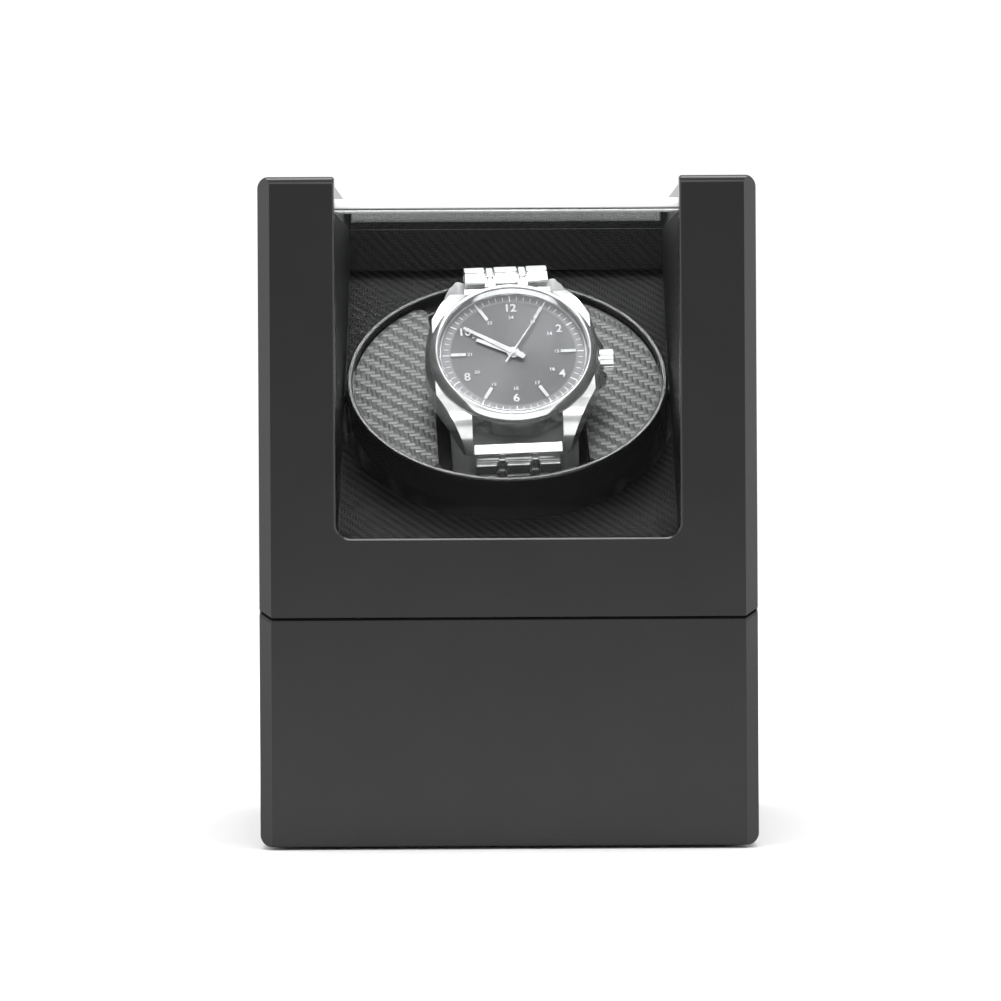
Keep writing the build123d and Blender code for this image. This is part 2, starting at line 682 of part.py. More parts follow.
def cushion():
    """The soft pad that the watch is strapped round: round at the six o'clock end, fuller at the other."""
    head_r = HEAD_BEND_R - 2.0
    head_z = CUSHION_TOP_Z - head_r
    head_y = HEAD_BEND_Y + head_r
    belly_r = head_z - CUSHION_LOW_Z
    belly_y = head_y - belly_r
    tail_r = (CUSHION_TOP_Z - CUSHION_LOW_Z) / 2
    tail_z = (CUSHION_TOP_Z + CUSHION_LOW_Z) / 2
    half = sin(pi / 4)
    head = ThreePointArc(
        (HEAD_BEND_Y, CUSHION_TOP_Z),
        (HEAD_BEND_Y + half * head_r, head_z + half * head_r),
        (head_y, head_z),
    )
    belly = ThreePointArc(
        (head_y, head_z),
        (belly_y + half * belly_r, head_z - half * belly_r),
        (belly_y, CUSHION_LOW_Z),
    )
    low = Line((belly_y, CUSHION_LOW_Z), (CUSHION_REAR_Y, CUSHION_LOW_Z))
    tail = ThreePointArc(
        (CUSHION_REAR_Y, CUSHION_LOW_Z),
        (CUSHION_REAR_Y - tail_r, tail_z),
        (CUSHION_REAR_Y, CUSHION_TOP_Z),
    )
    top = Line((CUSHION_REAR_Y, CUSHION_TOP_Z), (HEAD_BEND_Y, CUSHION_TOP_Z))
    section = Plane.YZ * make_face([head, belly, low, tail, top])
    pad = extrude(section, CUSHION_WIDTH / 2, both=True)
    ends = pad.edges().filter_by(Axis.X, reverse=True)
    return WATCH * fillet(ends, 3.0)


def watch_case_shape():
    """The case middle with four lugs: tapered lugs in plan, falling ends in side view, sloping flanks."""
    reach = LUG_REACH
    half = LUG_HALF
    shoulder = (CASE_SHOULDER_HALF, CASE_SHOULDER_Y)
    right = ThreePointArc((shoulder[0], -shoulder[1]), (CASE_HALF, 0), shoulder)
    left = ThreePointArc((-shoulder[0], shoulder[1]), (-CASE_HALF, 0), (-shoulder[0], -shoulder[1]))
    top = Polyline(shoulder, (half, reach), (-half, reach), (-shoulder[0], shoulder[1]))
    bottom = Polyline((-shoulder[0], -shoulder[1]), (-half, -reach), (half, -reach), (shoulder[0], -shoulder[1]))
    guard = make_face(Polyline((18, -9.5), (GUARD_HALF, -5.5), (GUARD_HALF, 5.5), (18, 9.5), close=True))
    plan = extrude(make_face([right, top, left, bottom]), FAR) + extrude(guard, FAR)
    arc_r = ThreePointArc((14, CASE_TOP_Z), (21.6, 22.2), (reach, 15.6))
    arc_l = ThreePointArc((-reach, 15.6), (-21.6, 22.2), (-14, CASE_TOP_Z))
    lug_foot = [(reach, 15.6), (24.4, 14.6), (17.5, CASE_LOW_Z)]
    under = Polyline(*lug_foot, *[(-y, z) for y, z in reversed(lug_foot)])
    roof = Line((-14, CASE_TOP_Z), (14, CASE_TOP_Z))
    side = extrude(Plane.YZ * make_face([roof, arc_r, under, arc_l]), FAR, both=True)
    flank = [(20.9, CASE_TOP_Z), (24.6, 18.5), (24.6, 10.0)]
    front = Polyline(*flank, *[(-x, z) for x, z in reversed(flank)], close=True)
    case = plan & side & extrude(Plane.XZ * make_face(front), FAR, both=True)
    for way in (-1, 1):
        y0, y1 = sorted((way * 12.0, way * FAR))
        gap = box(-LUG_GAP_HALF, LUG_GAP_HALF, y0, y1, 0, FAR) - rod(20.4, 0, FAR)
        case = case - gap
    return case


def watch_case():
    """The case middle, bored for the dial and for the crown's stem."""
    case = watch_case_shape() - rod(DIAL_R + 0.05, DIAL_Z - 0.5, FAR)
    skirt = rod(BEZEL_R + 0.05, BEZEL_SKIRT_Z - 0.05, CASE_TOP_Z) - rod(BEZEL_SKIRT_R - 0.05, 0, FAR)
    case = case - skirt - rod(BEZEL_R + 0.05, CASE_TOP_Z, FAR)
    case = case - rod_x(1.05, 0, CROWN_Z, 18.9, FAR)
    case = case - rod_x(CROWN_R + 0.4, 0, CROWN_Z, CASE_HALF - 0.6, FAR)
    return WATCH * case


def watch_case_back():
    """The screwed back under the case."""
    return WATCH * (rod(16.5, CASE_BACK_Z, CASE_LOW_Z - 0.4) + rod(17.0, CASE_LOW_Z - 0.4, CASE_LOW_Z))


def watch_bezel():
    """The polished ring with its sloping inner flange and the skirt round the case's neck."""
    outline = Polyline(
        (DIAL_R - 0.5, CASE_TOP_Z),
        (BEZEL_SKIRT_R, CASE_TOP_Z),
        (BEZEL_SKIRT_R, BEZEL_SKIRT_Z),
        (BEZEL_R, BEZEL_SKIRT_Z),
        (BEZEL_R, CASE_TOP_Z + 1.2),
        (BEZEL_R - 0.8, BEZEL_TOP_Z),
        (CRYSTAL_R + 0.05, BEZEL_TOP_Z),
        (CRYSTAL_R + 0.05, CRYSTAL_LOW_Z),
        (CRYSTAL_R - 0.5, CRYSTAL_LOW_Z),
        close=True,
    )
    return WATCH * revolve(Plane.XZ * make_face(outline), Axis.Z)


def watch_crystal():
    """The flat crystal with an eased edge."""
    disc = rod(CRYSTAL_R, CRYSTAL_LOW_Z, CRYSTAL_TOP_Z)
    return WATCH * chamfer(disc.edges().group_by(Axis.Z)[-1], 0.3)


def watch_dial():
    """The dial plate."""
    return WATCH * rod(DIAL_R, DIAL_Z - 0.5, DIAL_Z)


def around(angle):
    """A turn clockwise from twelve o'clock."""
    return Rot(0, 0, -angle)


def watch_markers():
    """Six raised batons at the odd hours."""
    baton = Pos(0, 14.5, DIAL_Z + 0.15) * Box(0.9, 4.0, 0.3)
    return [WATCH * around(30 * hour) * baton for hour in (1, 3, 5, 7, 9, 11)]


def hand_blade(tail, length, root, tip, low, high):
    """A flat tapered hand along +Y."""
    outline = Polyline((-root, -tail), (root, -tail), (root, 0), (tip, length), (-tip, length), (-root, 0), close=True)
    return Pos(0, 0, low) * extrude(make_face(outline), high - low)


def watch_hour_hand():
    """The broad hour hand, free round the minute hand's tube."""
    hand = hand_blade(2.6, 10.4, 0.9, 0.5, 25.0, 25.2) + rod(1.7, 25.0, 25.2)
    return WATCH * around(HOUR_ANGLE) * (hand - rod(1.06, 24, 26))


def watch_minute_hand():
    """The long minute hand with its tube."""
    hand = hand_blade(3.4, 15.1, 0.7, 0.4, 25.35, 25.55) + rod(1.0, DIAL_Z + 0.05, 25.55)
    return WATCH * around(MINUTE_ANGLE) * (hand - rod(0.4, 24, 26))


def watch_second_hand():
    """The thin second hand with its pin."""
    hand = hand_blade(4.0, 14.7, 0.22, 0.1, 25.7, 25.85) + rod(0.8, 25.7, 25.9) + rod(0.34, DIAL_Z + 0.05, 25.8)
    return WATCH * around(SECOND_ANGLE) * hand


def watch_crown():
    """The fluted crown and its stem at three o'clock."""
    crown = rod_x(CROWN_R, 0, CROWN_Z, CASE_HALF - 0.3, 26.4) + rod_x(1.0, 0, CROWN_Z, 19.0, CASE_HALF)
    flutes = 20
    for index in range(flutes):
        angle = 2 * pi * index / flutes
        y = CROWN_R * cos(angle)
        z = CROWN_Z + CROWN_R * sin(angle)
        crown = crown - rod_x(0.24, y, z, CASE_HALF + 0.6, 27)
    return WATCH * crown


def end_link(way):
    """The curved block between two lugs that starts the bracelet."""
    points = [(20.6, 21.2), (24.6, 19.0), (26.5, 16.4), (26.7, 15.0), (24.4, 14.6), (20.6, 16.2)]
    width = LUG_GAP_HALF - 0.1
    block = side_prism([(way * y, z) for y, z in points], -width, width)
    return WATCH * (block - rod(20.5, 0, FAR))


def arc_point(centre_y, centre_z, radius, angle):
    """A point on an arc that starts at the top of its circle, and the heading there, in degrees."""
    return centre_y + radius * sin(angle), centre_z + radius * cos(angle), -degrees(angle)


def head_point(distance):
    """The bracelet's middle line on the twelve o'clock side: over the cushion's full end and under it."""
    quarter = HEAD_BEND_R * pi / 2
    if distance < quarter:
        return arc_point(HEAD_BEND_Y, HEAD_BEND_Z, HEAD_BEND_R, distance / HEAD_BEND_R)
    belly_r = HEAD_BEND_Z + LINK_PATH_R
    belly_y = HEAD_BEND_Y + HEAD_BEND_R - belly_r
    return arc_point(belly_y, HEAD_BEND_Z, belly_r, pi / 2 + (distance - quarter) / belly_r)


def tail_point(distance):
    """The bracelet's middle line on the six o'clock side, measured as if it ran towards +Y."""
    start = (26.4, 14.4)
    bend_y = -CUSHION_REAR_Y
    turn = (bend_y + LINK_PATH_R, 0.0)
    drop = ((turn[0] - start[0]) ** 2 + (turn[1] - start[1]) ** 2) ** 0.5
    if distance < drop:
        share = distance / drop
        y = start[0] + share * (turn[0] - start[0])
        z = start[1] + share * (turn[1] - start[1])
        return y, z, -83.0
    angle = pi / 2 + (distance - drop) / LINK_PATH_R
    if angle < pi:
        return arc_point(bend_y, 0.0, LINK_PATH_R, angle)
    return bend_y - (angle - pi) * LINK_PATH_R, -LINK_PATH_R, -180.0


def bracelet_link():
    """One link: a thin carrier with an outer, a narrow and a centre column, the narrow ones half a pitch on."""
    length = LINK_PITCH - 0.9
    link = Pos(0, 0, -0.55) * Box(2 * LINK_HALF_WIDTH, length, 1.9)
    for x, width, step in ((0, 6.4, 0.0), (4.35, 1.9, 0.5), (-4.35, 1.9, 0.5), (8.4, 5.8, 0.0), (-8.4, 5.8, 0.0)):
        shift = step * LINK_PITCH
        pad = Pos(x, shift, 0.95) * Box(width, length - 0.1, 1.1)
        link = link + fillet(pad.edges().group_by(Axis.Z)[-1], 0.35)
    return link


def watch_bracelet():
    """The rows of links that run from both end links round the cushion to the clasp."""
    one = bracelet_link()
    rows = []
    for count, path in ((HEAD_LINKS, head_point), (TAIL_LINKS, tail_point)):
        for index in range(count):
            y, z, heading = path(LINK_START + (index + 0.5) * LINK_PITCH)
            link = Pos(0, y, z) * Rot(heading, 0, 0) * one
            rows.append(WATCH * (link if path is head_point else mirror(link, Plane.XZ)))
    return rows


def watch_clasp():
    """The folding clasp under the cushion."""
    low = -LINK_PATH_R - 1.8
    clasp = box(-9.6, 9.6, CLASP_LOW_Y, CLASP_HIGH_Y, low, low + 3.6)
    return WATCH * fillet(clasp.edges().filter_by(Axis.Y), 0.8)


def build():
    """Makes every sub-part, by name."""
    spindle = rotor_spindle()
    shaft = knob_shaft()
    under_screws = cover_screws()
    post_screws = plate_screws()
    gear_screws = motor_screws()
    small_screws = board_screws()
    base_screws = hinge_screws(-1)
    lid_screws = hinge_screws(1)
    motor_hole = CHASSIS * rod(2.5, -FAR, FAR, 0, -MOTOR_OFFSET)
    bush_hole = CHASSIS * rod(BUSH_R, -FAR, FAR)
    base_cutters = [*rear_openings(), *magnet_pockets(-1), *under_screws, *small_screws, *base_screws]
    return {
        "base_casing": base_casing(base_cutters),
        "base_cover": base_cover([*under_screws, *cover_counterbores()]),
        "cover_screws": under_screws,
        "rubber_feet": rubber_feet(),
        "deck_board": deck_board(),
        "bearing_plate": bearing_plate([bush_hole, motor_hole, *post_screws, *gear_screws]),
        "plate_posts": plate_posts(post_screws),
        "plate_screws": post_screws,
        "spindle_bush": spindle_bush(),
        "rotor_bowl": rotor_bowl(spindle),
        "rotor_facing_left": rotor_facing(-1),
        "rotor_facing_right": rotor_facing(1),
        "rotor_spindle": spindle,
        "spindle_clip": spindle_clip(),
        "spindle_pulley": ROTOR * pulley(PULLEY_R, SPINDLE_R, 0),
        "drive_belt": drive_belt(),
        "motor_pulley": CHASSIS * pulley(MOTOR_PULLEY_R, SHAFT_R, -MOTOR_OFFSET),
        "motor_shaft": motor_shaft(),
        "gear_motor": gear_motor(gear_screws),
        "motor_screws": gear_screws,
        "circuit_board": circuit_board(small_screws),
        "board_screws": small_screws,
        "switch_body": switch_body(),
        "knob_shaft": shaft,
        "mode_knob": mode_knob(shaft),
        "power_jack": power_jack(),
        "jack_nut": jack_nut(),
        "indicator_lamp": indicator_lamp(),
        "battery_box": battery_box(),
        "battery_cells": battery_cells(),
        "battery_contacts": battery_contacts(),
        "battery_door": battery_door(),
        "lid_casing": lid_casing([*magnet_pockets(1), *lid_screws]),
        "lid_window": lid_window(),
        "lid_lining_left": lid_side_lining(-1),
        "lid_lining_right": lid_side_lining(1),
        "lid_lining_rear": lid_rear_lining(),
        "hinge_base_leaves": [cut_all(hinge_leaf(side * HINGE_X, -1), base_screws) for side in (-1, 1)],
        "hinge_lid_leaves": [cut_all(hinge_leaf(side * HINGE_X, 1), lid_screws) for side in (-1, 1)],
        "hinge_pins": [hinge_pin(side * HINGE_X) for side in (-1, 1)],
        "hinge_base_screws": base_screws,
        "hinge_lid_screws": lid_screws,
        "lid_bumpers": lid_bumpers(),
        "base_magnets": magnets(-1),
        "lid_magnets": magnets(1),
        "cushion": cushion(),
        "watch_case": watch_case(),
        "watch_case_back": watch_case_back(),
        "watch_bezel": watch_bezel(),
        "watch_crystal": watch_crystal(),
        "watch_dial": watch_dial(),
        "watch_markers": watch_markers(),
        "watch_hour_hand": watch_hour_hand(),
        "watch_minute_hand": watch_minute_hand(),
        "watch_second_hand": watch_second_hand(),
        "watch_crown": watch_crown(),
        "watch_end_links": [end_link(-1), end_link(1)],
        "watch_bracelet": watch_bracelet(),
        "watch_clasp": watch_clasp(),
    }


def write(name, made):
    """Writes one sub-part, a solid or a list of separate solids, in the object's own frame."""
    pieces = made if isinstance(made, list) else [made]
    moved = [Pos(0, -HINGE_PROJECTION / 2, 0) * piece for piece in pieces]
    export_step(moved[0] if len(moved) == 1 else Compound(children=moved), f"parts/{name}.step")


os.makedirs("parts", exist_ok=True)
for part_name, part in build().items():
    write(part_name, part)
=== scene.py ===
import bmesh
import bpy
import json
from math import cos, pi, radians, sin
from mathutils import Matrix, Vector


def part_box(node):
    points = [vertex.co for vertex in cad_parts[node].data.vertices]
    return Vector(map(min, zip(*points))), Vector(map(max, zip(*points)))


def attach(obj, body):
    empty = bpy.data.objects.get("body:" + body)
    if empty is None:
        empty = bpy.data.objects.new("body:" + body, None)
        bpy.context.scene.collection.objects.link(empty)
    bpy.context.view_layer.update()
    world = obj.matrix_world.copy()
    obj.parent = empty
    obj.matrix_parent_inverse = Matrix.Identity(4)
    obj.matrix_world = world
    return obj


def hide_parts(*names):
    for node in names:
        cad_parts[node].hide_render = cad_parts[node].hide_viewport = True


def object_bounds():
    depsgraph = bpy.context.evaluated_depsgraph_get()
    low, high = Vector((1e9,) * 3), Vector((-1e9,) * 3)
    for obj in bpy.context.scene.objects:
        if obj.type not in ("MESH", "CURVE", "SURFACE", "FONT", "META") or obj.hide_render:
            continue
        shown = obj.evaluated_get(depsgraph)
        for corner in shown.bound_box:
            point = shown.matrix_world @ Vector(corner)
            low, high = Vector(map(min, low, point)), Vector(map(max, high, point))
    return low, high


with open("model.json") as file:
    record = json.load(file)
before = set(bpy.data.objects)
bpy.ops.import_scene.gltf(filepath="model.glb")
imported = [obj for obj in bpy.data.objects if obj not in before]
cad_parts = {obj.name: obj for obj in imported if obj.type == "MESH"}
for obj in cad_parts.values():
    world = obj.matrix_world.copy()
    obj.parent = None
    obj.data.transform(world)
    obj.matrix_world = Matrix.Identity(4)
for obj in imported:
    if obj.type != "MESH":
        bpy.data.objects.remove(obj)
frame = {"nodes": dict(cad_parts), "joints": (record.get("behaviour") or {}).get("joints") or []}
cad_low, cad_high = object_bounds()
nodes = frame["nodes"]
joints = {joint["name"]: joint for joint in frame["joints"]}

MM = 0.001

# The incline's axes and the watch's axes at rest, from the joints
INCLINE = Vector(joints["rotor_spin"]["axis"]).normalized()
ACROSS = Vector((1, 0, 0))
UPSLOPE = INCLINE.cross(ACROSS).normalized()
WATCH_OUT = -Vector(joints["minute_hand_turn"]["axis"]).normalized()
WATCH_ACROSS = Vector(joints["crown_turn"]["axis"]).normalized()
WATCH_UP = WATCH_OUT.cross(WATCH_ACROSS).normalized()
HANDS_CENTRE = Vector(joints["minute_hand_turn"]["pos_m"])
SLOT_ALONG = INCLINE.cross(WATCH_ACROSS).normalized()

# The watch frame has its origin in the cushion, X across the watch, Y towards twelve o'clock and Z out of
# the dial. The hands' joints are on its Z axis, at this height.
HANDS_HEIGHT = 25.0 * MM
WATCH_ORIGIN = HANDS_CENTRE - WATCH_OUT * HANDS_HEIGHT

# Dial, in metres in the watch frame
DIAL_HEIGHT = 24.6 * MM
DIAL_RING_R = 16.5 * MM
HOUR_FIGURES = (14.4 * MM, 3.4 * MM)
INNER_FIGURES = (11.4 * MM, 1.5 * MM)
TRACK_R = 17.7 * MM

# Cushion, in metres in the watch frame: in side view a head arc, a belly arc and a tail arc, joined by flats
CUSHION_HALF = 16.5 * MM
CUSHION_TOP = 14.4 * MM
CUSHION_LOW = -15.0 * MM
CUSHION_HEAD = (27.0 * MM, 6.4 * MM)
CUSHION_HEAD_R = 8.0 * MM
CUSHION_BELLY_R = CUSHION_HEAD[1] - CUSHION_LOW
CUSHION_BELLY = (CUSHION_HEAD[0] + CUSHION_HEAD_R - CUSHION_BELLY_R, CUSHION_HEAD[1])
CUSHION_TAIL_R = (CUSHION_TOP - CUSHION_LOW) / 2
CUSHION_TAIL = (-11.0 * MM, CUSHION_LOW + CUSHION_TAIL_R)

# Bracelet, in millimetres in the watch frame
LINK_BEND = (27.0, 7.0)
LINK_BEND_R = 10.0
LINK_PATH_R = 17.4
LINK_TAIL_START = (26.4, 14.4)
LINK_TAIL_Y = 11.0
LINK_START = 0.4
LINK_ROW = 4.2
LINK_GAP = 0.25
LINK_EASE = 0.35
HEAD_ROWS = 12
TAIL_ROWS = 9
CORE_WIDTH = 21.8
CORE_HEIGHT = 1.5
CORE_EASE = 0.2
CORE_Z = -0.7
PAD_HEIGHT = 1.6
PAD_Z = 0.7
NARROW_STAND = 0.02
WIDE_COLUMNS = ((-8.4, 5.6), (0.0, 6.2), (8.4, 5.6))
NARROW_COLUMNS = ((-4.35, 1.9), (4.35, 1.9))
END_BAR = (23.4, 2.9, 2.8)
END_BAR_PLACE = (24.9, 16.9)
END_BAR_FALL = 20.0

# The pane's bend, where the pane's painted highlight starts, in metres behind the pane's front face and
# below its top
PANE_BEND_BACK = 3.2 * MM
PANE_BEND_DOWN = 2.6 * MM

# Camera and room: metres, millimetres of lens, a share of the frame and degrees
CAMERA_DISTANCE = 1.0
CAMERA_X = -0.0018
CAMERA_HEIGHT = 0.1083
CAMERA_LENS = 142.6
CAMERA_SHIFT = -0.0804
CAMERA_ROLL = 0.3
ROOM_MIDDLE = (0, 0, 0.1)


# Small helpers


class Shader:
    """A material with its Principled shader, and short ways to add and join nodes."""

    def __init__(self, name, **settings):
        self.material = bpy.data.materials.new(name)
        self.material.use_nodes = True
        self.tree = self.material.node_tree
        self.surface = self.tree.nodes["Principled BSDF"]
        self.output = self.tree.nodes["Material Output"]
        for socket, value in settings.items():
            self.surface.inputs[socket.replace("_", " ")].default_value = value

    def join(self, value, socket):
        """Feeds a socket from another node's output, or sets it to a plain value."""
        if isinstance(value, bpy.types.NodeSocket):
            self.tree.links.new(value, socket)
        else:
            socket.default_value = value

    def node(self, kind, *inputs, **properties):
        """Adds a node, with its first inputs given in order."""
        made = self.tree.nodes.new("ShaderNode" + kind)
        for key, value in properties.items():
            setattr(made, key, value)
        for socket, value in zip(made.inputs, inputs):
            if value is not None:
                self.join(value, socket)
        return made

    def math(self, operation, *inputs):
        """The result of a sum, product or other operation on plain values or other nodes' outputs."""
        return self.node("Math", *inputs, operation=operation).outputs[0]

    def place(self):
        """The point's place in the piece's own frame."""
        return self.node("TexCoord").outputs["Object"]

    def along(self, axis, origin=(0, 0, 0)):
        """How far the point lies along an axis, from an origin."""
        shifted = self.node("VectorMath", self.place(), tuple(origin), operation="SUBTRACT").outputs[0]
        return self.node("VectorMath", shifted, tuple(axis), operation="DOT_PRODUCT").outputs["Value"]

    def noise(self, scale, detail=3.0, vector=None):
        """A soft pattern from 0 to 1; at a scale of 100 its features are about 10 mm across."""
        texture = self.node("TexNoise")
        self.join(vector if vector is not None else self.place(), texture.inputs["Vector"])
        texture.inputs["Scale"].default_value = scale
        texture.inputs["Detail"].default_value = detail
        return texture.outputs["Fac"]

    def spread(self, value, low, high, from_low=0.0, from_high=1.0):
        """Maps a value from one range to another."""
        return self.node("MapRange", value, from_low, from_high, low, high).outputs[0]

    def ramp(self, value, *stops):
        """Colours by value: each stop is a place and a grey or a colour."""
        made = self.node("ValToRGB", value)
        elements = made.color_ramp.elements
        while len(elements) < len(stops):
            elements.new(0.5)
        for element, (place, colour) in zip(elements, stops):
            element.position = place
            grey = isinstance(colour, float)
            element.color = (colour, colour, colour, 1) if grey else (*colour, 1)
        return made.outputs["Color"]

    def colour(self, value):
        """Sets the surface's colour."""
        self.join(value, self.surface.inputs["Base Color"])

    def rough(self, value):
        """Sets the surface's roughness."""
        self.join(value, self.surface.inputs["Roughness"])

    def bump(self, height, strength, distance):
        """Gives the surface small relief from a height pattern; the distance is in metres."""
        made = self.node("Bump")
        made.inputs["Strength"].default_value = strength
        made.inputs["Distance"].default_value = distance
        self.join(height, made.inputs["Height"])
        self.join(made.outputs[0], self.surface.inputs["Normal"])


def paint(shader, *names):
    """Gives CAD nodes a material."""
    for name in names:
        mesh = nodes[name].data
        mesh.materials.clear()
        mesh.materials.append(shader.material)


def piece(name, mesh, shader, body, matrix=None):
    """A new shown piece that rides on a body."""
    made = bpy.data.objects.new(name, mesh)
    bpy.context.scene.collection.objects.link(made)
    if matrix is not None:
        made.matrix_world = matrix
    mesh.materials.append(shader.material)
    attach(made, body)
    return made


def mesh_from(build, name):
    """A mesh that a bmesh function fills."""
    shape = bmesh.new()
    build(shape)
    mesh = bpy.data.meshes.new(name)
    shape.to_mesh(mesh)
    shape.free()
    return mesh


def axes_matrix(origin, across, up, out):
    """A matrix whose local X, Y and Z lie along three world directions."""
    turn = Matrix((across, up, out)).transposed()
    return Matrix.Translation(origin) @ turn.to_4x4()


WATCH_MATRIX = axes_matrix(WATCH_ORIGIN, WATCH_ACROSS, WATCH_UP, WATCH_OUT)


# Materials


def twill(shader, across, along, cell):
    """A 2 by 2 twill in two directions: which thread is on top, and the threads' rounded height."""
    u = shader.math("DIVIDE", across, cell)
    v = shader.math("DIVIDE", along, cell)
    step = shader.math("ADD", shader.math("FLOOR", u), shader.math("FLOOR", v))
    on_top = shader.math("LESS_THAN", shader.math("FLOORED_MODULO", step, 4.0), 1.5)
    round_u = shader.math("SINE", shader.math("MULTIPLY", shader.math("FRACT", u), pi))
    round_v = shader.math("SINE", shader.math("MULTIPLY", shader.math("FRACT", v), pi))
    mixed = shader.node("Mix", on_top, None, round_u, round_v, data_type="FLOAT")
    return on_top, mixed.outputs[0]


def lacquer():
    """Black lacquer with a very slight orange peel."""
    made = Shader("black_lacquer", IOR=1.42)
    made.colour(made.ramp(made.noise(60.0), (0.3, 0.0105), (0.7, 0.0120)))
    made.rough(made.spread(made.noise(35.0), 0.16, 0.22))
    made.bump(made.noise(420.0, 2.0), 0.02, 0.0003)
    return made


def dark_leather(name, across, along):
    """Dark leather embossed like woven carbon fibre, with painted sheen on the threads that lie on top and
    painted shade towards each thread's edges.
    """
    made = Shader(name, Specular_IOR_Level=0.12)
    on_top, height = twill(made, made.along(across), made.along(along), 0.75 * MM)
    # Painted shade: each thread is darker towards its edges, where its rounding turns from the light.
    tone = made.spread(height, 0.4, 1.0)
    # Painted sheen: the threads on top are lighter than the threads under them.
    value = made.math("MULTIPLY", made.spread(on_top, 0.001, 0.008), tone)
    sheen_shade_mottle = made.math("MULTIPLY", value, made.spread(made.noise(160.0), 0.7, 1.3))
    made.colour(made.ramp(sheen_shade_mottle, (0.0, 0.0), (1.0, 1.0)))
    made.rough(made.spread(on_top, 0.5, 0.32))
    made.bump(height, 0.5, 0.0002)
    return made


def silver_leather():
    """Silver-grey leather embossed like woven carbon fibre, with painted sheen on the threads that lie on
    top and painted shade towards each thread's edges.
    """
    made = Shader("silver_leather")
    on_top, height = twill(made, made.along(WATCH_ACROSS), made.along(SLOT_ALONG), 1.35 * MM)
    # Painted shade: each thread is darker towards its edges, where its rounding turns from the light.
    tone = made.spread(height, 0.5, 1.0)
    # Painted sheen: the threads on top are lighter than the threads under them.
    value = made.math("MULTIPLY", made.spread(on_top, 0.035, 0.1), tone)
    sheen_shade_mottle = made.math("MULTIPLY", value, made.spread(made.noise(220.0), 0.75, 1.25))
    made.colour(made.ramp(sheen_shade_mottle, (0.0, 0.0), (1.0, 1.0)))
    made.rough(made.spread(on_top, 0.5, 0.35))
    made.surface.inputs["Metallic"].default_value = 0.25
    made.bump(height, 0.5, 0.0002)
    return made


def moulding(name, grey, low, high):
    """Moulded plastic with a fine spark texture, with its roughness between low and high."""
    made = Shader(name)
    made.colour(made.ramp(made.noise(300.0), (0.3, grey * 0.85), (0.7, grey * 1.2)))
    made.rough(made.spread(made.noise(90.0), low, high))
    made.bump(made.noise(1600.0, 2.0), 0.08, 0.0001)
    return made


def metal(name, grey, low, high, grain=None, tint=(1.0, 1.0, 1.0)):
    """Metal with a roughness that varies; the grain is how fine the brushing is along X, Y and Z."""
    made = Shader(name, Metallic=0.85)
    if grain is None:
        pattern = made.noise(240.0)
        made.bump(made.noise(900.0, 2.0), 0.02, 0.0001)
    else:
        squash = made.node("VectorMath", made.place(), grain, operation="MULTIPLY").outputs[0]
        pattern = made.noise(1.0, 4.0, squash)
        made.bump(pattern, 0.04, 0.0001)
    dark = tuple(grey * 0.82 * share for share in tint)
    light = tuple(min(1.0, grey * 1.12 * share) for share in tint)
    made.colour(made.ramp(pattern, (0.25, dark), (0.75, light)))
    made.rough(made.spread(pattern, low, high, 0.25, 0.75))
    return made


def rubber(name):
    """Soft black rubber."""
    made = Shader(name)
    made.colour(made.ramp(made.noise(400.0), (0.3, 0.012), (0.7, 0.022)))
    made.rough(made.spread(made.noise(200.0), 0.7, 0.85))
    made.bump(made.noise(1500.0, 2.0), 0.15, 0.0001)
    return made


def circuit_green():
    """Solder mask with fine copper lines under it."""
    made = Shader("board_green")
    lines = made.node("TexWave", wave_type="BANDS", bands_direction="DIAGONAL")
    made.join(made.place(), lines.inputs["Vector"])
    lines.inputs["Scale"].default_value = 180.0
    made.colour(made.ramp(lines.outputs["Fac"], (0.45, (0.01, 0.09, 0.03)), (0.55, (0.03, 0.2, 0.07))))
    made.rough(made.spread(made.noise(100.0), 0.3, 0.45))
    return made


def clear_sheet(name, tint, rough, ior, bend=None):
    """Clear sheet that casts no dark shadow; where it turns a corner, past the bend's point, it lets less
    light through and shows its pale tint as a painted highlight.
    """
    made = Shader(name, Transmission_Weight=1.0, IOR=ior, Base_Color=tint)
    made.rough(made.spread(made.noise(25.0), rough, rough + 0.01))
    if bend is not None:
        ahead = made.along((0, -1, 0), bend)
        above = made.along((0, 0, 1), bend)
        past_bend = made.math("MINIMUM", ahead, above)
        # Painted highlight: past the bend the sheet turns from clear to its pale tint, standing in for the
        # bright bent edge.
        bend_highlight_weight = made.spread(past_bend, 1.0, 0.15, -0.3 * MM, 0.3 * MM)
        made.join(bend_highlight_weight, made.surface.inputs["Transmission Weight"])
    through = made.node("BsdfTransparent", tint)
    shadow = made.node("LightPath").outputs["Is Shadow Ray"]
    mixed = made.node("MixShader", shadow, made.surface.outputs[0], through.outputs[0])
    made.join(mixed.outputs[0], made.output.inputs["Surface"])
    return made


